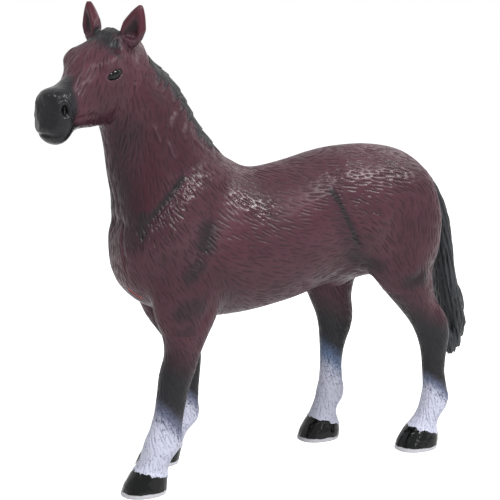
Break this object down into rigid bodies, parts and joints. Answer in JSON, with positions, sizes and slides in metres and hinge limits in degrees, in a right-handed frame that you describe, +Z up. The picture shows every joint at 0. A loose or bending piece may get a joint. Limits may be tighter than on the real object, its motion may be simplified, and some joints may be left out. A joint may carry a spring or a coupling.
{
  "type": "toy horse figure",
  "caption": "Hollow standing toy horse with its head turned to one side, plugged-in legs and a pushed-in tail, for play or display on a flat surface.",
  "frame": {"origin": "middle of the figure's bounding box, on the ground under the hooves", "axes": "+X to the front, along the trunk; +Y to the horse's left; +Z up"},
  "size_m": [0.287, 0.0732, 0.2722],
  "materials": {
    "body_paint": "dark maroon brown paint shaded with black over moulded hair, semi-gloss",
    "leg_paint": "brown and black paint fading to pale lavender above glossy black hooves",
    "tail_paint": "black, satin, moulded in long locks"
  },
  "bodies": {
    "root": {"body_shell_left": "body_paint", "body_shell_right": "body_paint", "head": "body_paint", "foreleg_left": "leg_paint", "foreleg_right": "leg_paint", "hindleg_left": "leg_paint", "hindleg_right": "leg_paint", "tail": "tail_paint"}
  },
  "joints": []
}
